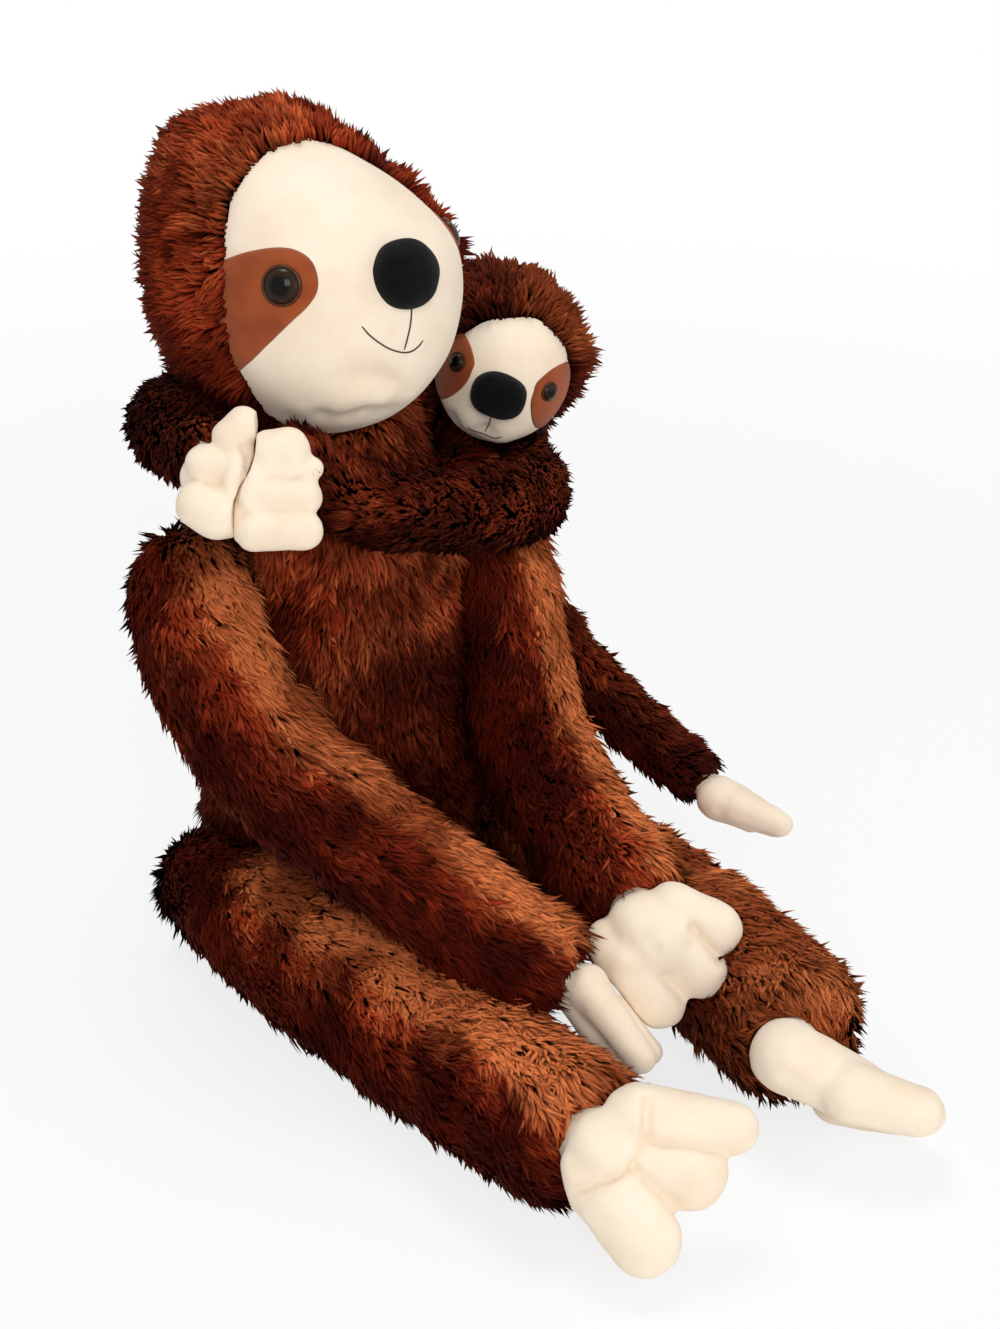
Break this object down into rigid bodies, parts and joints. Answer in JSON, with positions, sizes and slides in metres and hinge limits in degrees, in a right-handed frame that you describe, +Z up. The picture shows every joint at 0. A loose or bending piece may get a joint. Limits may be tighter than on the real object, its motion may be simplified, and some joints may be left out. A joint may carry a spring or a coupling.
{
  "type": "plush sloth with young",
  "caption": "Seated long-limbed plush sloth with a cream face; a smaller one clasps its arms round her neck. Head, arms and legs turn.",
  "frame": {"origin": "middle of the flat face that the mother sits on, at the bottom of her torso", "axes": "+Z up, -Y the way her torso faces, +X towards her left side, where the young one hangs"},
  "size_m": [0.2384, 0.3895, 0.3385],
  "materials": {
    "brown_fur": "long wavy pile",
    "baby_fur": "long wavy pile",
    "cream_velboa": "short velvety pile",
    "tan_velboa": "short velvety pile",
    "black_plush": "short dense pile",
    "eye_plastic": "polished",
    "washer_plastic": "as moulded",
    "fibre": "loose fibre",
    "fastener_tape": "woven"
  },
  "bodies": {
    "torso": {"torso_skin": "brown_fur", "torso_filling": "fibre", "baby_torso": "baby_fur"},
    "head": {"head_hood": "brown_fur", "head_filling": "fibre", "face_panel": "cream_velboa", "eye_patch_left": "tan_velboa", "eye_patch_right": "tan_velboa", "eye_left": "eye_plastic", "eye_right": "eye_plastic", "eye_washer_left": "washer_plastic", "eye_washer_right": "washer_plastic", "nose": "black_plush"},
    "arm_left": {"arm_left": "brown_fur", "hand_left": "cream_velboa"},
    "arm_right": {"arm_right": "brown_fur", "hand_right": "cream_velboa"},
    "leg_left": {"leg_left": "brown_fur", "foot_left": "cream_velboa"},
    "leg_right": {"leg_right": "brown_fur", "foot_right": "cream_velboa"},
    "baby_head": {"baby_head_hood": "baby_fur", "baby_head_filling": "fibre", "baby_face_panel": "cream_velboa", "baby_eye_patch_left": "tan_velboa", "baby_eye_patch_right": "tan_velboa", "baby_eye_left": "eye_plastic", "baby_eye_right": "eye_plastic", "baby_eye_washer_left": "washer_plastic", "baby_eye_washer_right": "washer_plastic", "baby_nose": "black_plush"},
    "baby_arm_left": {"baby_arm_left": "baby_fur", "baby_hand_left": "cream_velboa", "loop_tape": "fastener_tape"},
    "baby_arm_right": {"baby_arm_right": "baby_fur", "baby_hand_right": "cream_velboa", "hook_tape": "fastener_tape"},
    "baby_leg_left": {"baby_leg_left": "baby_fur", "baby_foot_left": "cream_velboa"},
    "baby_leg_right": {"baby_leg_right": "baby_fur", "baby_foot_right": "cream_velboa"}
  },
  "joints": [
    {"name": "head_turn", "type": "hinge", "parent": "torso", "child": "head", "pos_m": [-0.0117, 0, 0.278], "axis": [0, 0, 1], "range_deg": [-20, 20]},
    {"name": "arm_left_lift", "type": "hinge", "parent": "torso", "child": "arm_left", "pos_m": [0.06752, 0.002, 0.164], "axis": [-1, 0, 0], "range_deg": [0, 14]},
    {"name": "arm_right_lift", "type": "hinge", "parent": "torso", "child": "arm_right", "pos_m": [-0.06752, 0.002, 0.164], "axis": [-1, 0, 0], "range_deg": [0, 40]},
    {"name": "leg_left_swing", "type": "hinge", "parent": "torso", "child": "leg_left", "pos_m": [0.06745, -0.003, 0.03093], "axis": [-1, 0, 0], "range_deg": [-90, 0]},
    {"name": "leg_right_swing", "type": "hinge", "parent": "torso", "child": "leg_right", "pos_m": [-0.06745, -0.003, 0.03093], "axis": [-1, 0, 0], "range_deg": [-90, 0]},
    {"name": "baby_head_turn", "type": "hinge", "parent": "torso", "child": "baby_head", "pos_m": [0.08952, 0.005, 0.225], "axis": [0, 0, 1], "range_deg": [-20, 20]},
    {"name": "baby_arm_left_open", "type": "hinge", "parent": "torso", "child": "baby_arm_left", "pos_m": [0.08893, -0.01092, 0.17416], "axis": [0, 0, 1], "range_deg": [0, 40]},
    {"name": "baby_arm_right_open", "type": "hinge", "parent": "torso", "child": "baby_arm_right", "pos_m": [0.07982, 0.04244, 0.18376], "axis": [0, 0, 1], "range_deg": [-30, 0]},
    {"name": "baby_leg_left_swing", "type": "hinge", "parent": "torso", "child": "baby_leg_left", "pos_m": [0.10172, 0.0266, 0.115], "axis": [-1, 0, 0], "range_deg": [-10, 10]},
    {"name": "baby_leg_right_swing", "type": "hinge", "parent": "torso", "child": "baby_leg_right", "pos_m": [0.09372, 0.0266, 0.115], "axis": [0, 0, 1], "range_deg": [-30, 0]}
  ]
}
